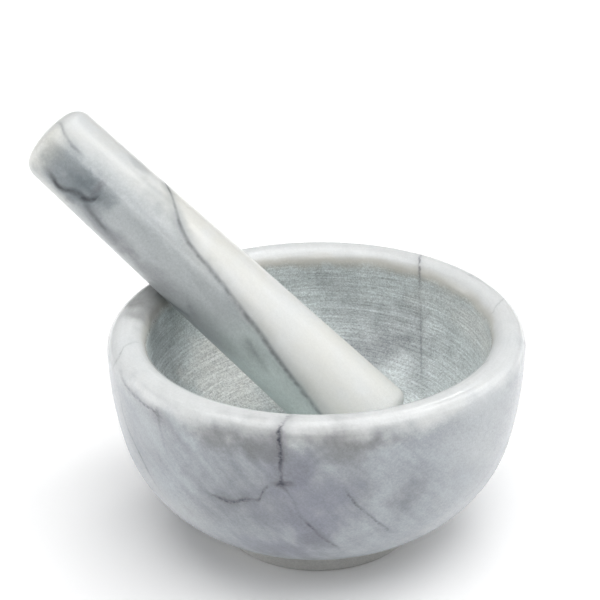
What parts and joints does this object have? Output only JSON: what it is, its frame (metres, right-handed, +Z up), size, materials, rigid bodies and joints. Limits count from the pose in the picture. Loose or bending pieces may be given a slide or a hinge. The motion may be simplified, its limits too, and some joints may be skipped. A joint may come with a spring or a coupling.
{
  "type": "mortar and pestle",
  "caption": "Deep round stone bowl with a thick rounded rim and a small foot, and a separate tapered pestle leaning in it, for crushing herbs and spices by hand.",
  "frame": {"origin": "centre of the mortar's flat underside", "axes": "+Z up along the bowl's axis; the pestle leans out over the rim towards -X and a little towards +Y; seen along +Y the handle is at the upper left"},
  "size_m": [0.1523, 0.127, 0.1236],
  "materials": {
    "mortar_marble": "white and grey veined marble, polished outside and over the rim, ground matt inside",
    "pestle_marble": "white and grey veined marble, polished handle, matt grinding end"
  },
  "bodies": {
    "mortar": {"mortar": "mortar_marble"},
    "pestle": {"pestle": "pestle_marble"}
  },
  "joints": [
    {"name": "pestle_lift", "type": "slide", "parent": "mortar", "child": "pestle", "axis": [0, 0, 1], "range_m": [0, 0.06]}
  ]
}
